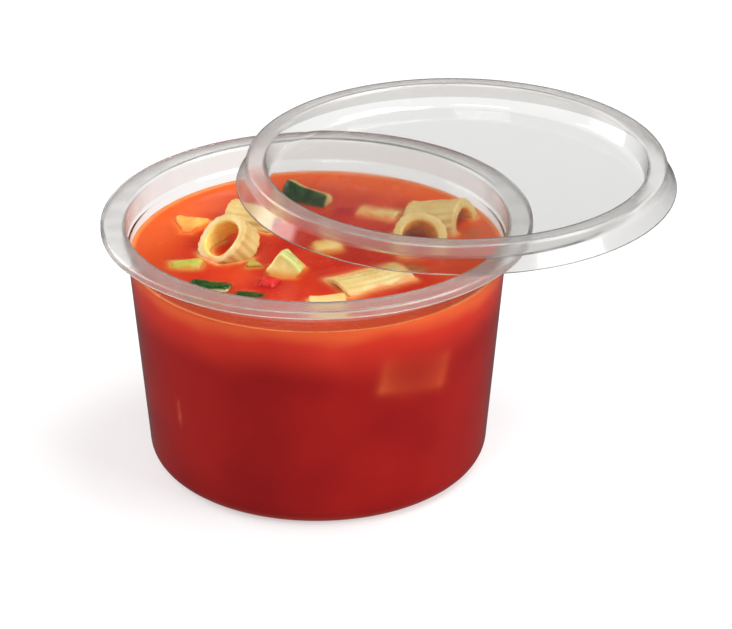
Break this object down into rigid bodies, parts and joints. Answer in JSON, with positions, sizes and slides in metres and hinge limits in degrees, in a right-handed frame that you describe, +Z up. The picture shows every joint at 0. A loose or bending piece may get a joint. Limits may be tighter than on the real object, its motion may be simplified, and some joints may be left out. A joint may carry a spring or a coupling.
{
  "type": "takeaway soup container",
  "caption": "Clear tapered plastic cup filled with tomato vegetable and pasta soup, with its clear lid resting off-centre on the rim.",
  "frame": {"origin": "middle of the cup's flat base, on the surface it stands on", "axes": "+Z up along the cup's axis; the lid has slid towards +X and +Y; the cup is open towards -X and -Y"},
  "size_m": [0.1578, 0.1421, 0.0782],
  "materials": {
    "clear_cup": "clear, faintly milky",
    "clear_lid": "clear, thin and glossy",
    "soup": "wet, smooth, softly glossy",
    "pasta": "wet, ridged, soft sheen",
    "courgette": "wet cut flesh",
    "courgette_skin": "wet dark skin",
    "carrot": "wet cut flesh",
    "celery": "wet cut flesh",
    "pepper": "wet skin",
    "bean": "wet cut end"
  },
  "bodies": {
    "root": {"cup": "clear_cup", "lid": "clear_lid", "soup": "soup", "pasta_front_ring": "pasta", "pasta_back_left": "pasta", "pasta_right_ring": "pasta", "pasta_right_long": "pasta", "pasta_back_sunken": "pasta", "pasta_front_long": "pasta", "pasta_front_end": "pasta", "courgette_cube": "courgette", "courgette_chunk": "courgette", "courgette_skin_back": "courgette_skin", "courgette_skin_front": "courgette_skin", "courgette_sliver": "courgette_skin", "carrot_wedge": "carrot", "celery_slice": "celery", "celery_bit": "celery", "pepper_front": "pepper", "pepper_back": "pepper", "bean_end": "bean"}
  },
  "joints": []
}
